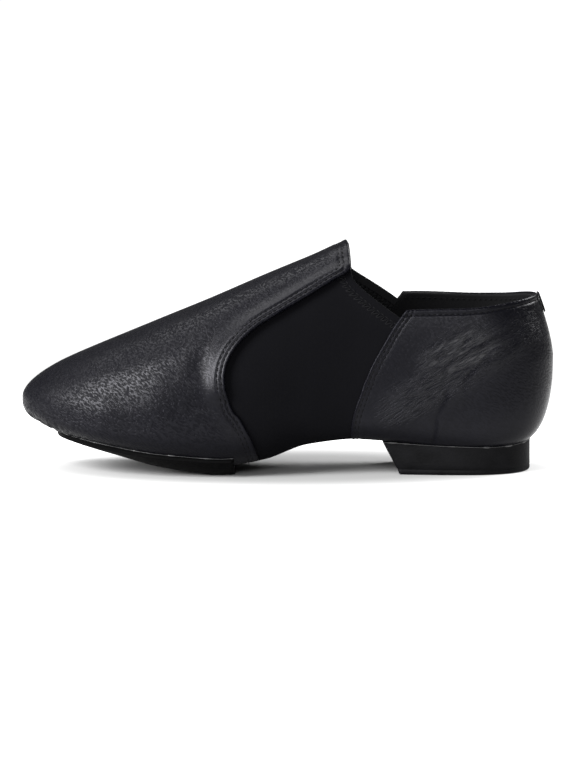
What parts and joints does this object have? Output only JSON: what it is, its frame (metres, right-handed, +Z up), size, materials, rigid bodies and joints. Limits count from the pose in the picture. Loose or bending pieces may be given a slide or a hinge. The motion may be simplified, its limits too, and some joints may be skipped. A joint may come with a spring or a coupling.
{
  "type": "dance shoe",
  "caption": "Slip-on split-sole jazz dance shoe with leather vamp and heel counter, stretch side gussets, a thin forefoot pad and a low block heel.",
  "frame": {"origin": "centre of the bounding box in plan, on the floor plane under the heel and the forefoot pad", "axes": "+X from the toe to the heel, +Y to the inner side of the foot, +Z up"},
  "size_m": [0.2497, 0.0792, 0.1083],
  "materials": {
    "stretch_fabric": "matte black stretch neoprene",
    "black_leather": "black pebble-grain leather, half gloss",
    "black_rubber": "matte black rubber",
    "insole_fabric": "black brushed lining cloth"
  },
  "bodies": {
    "root": {"upper": "stretch_fabric", "vamp": "black_leather", "heel_counter": "black_leather", "back_tab": "black_leather", "insole": "insole_fabric", "forefoot_sole": "black_rubber", "heel": "black_rubber"}
  },
  "joints": []
}
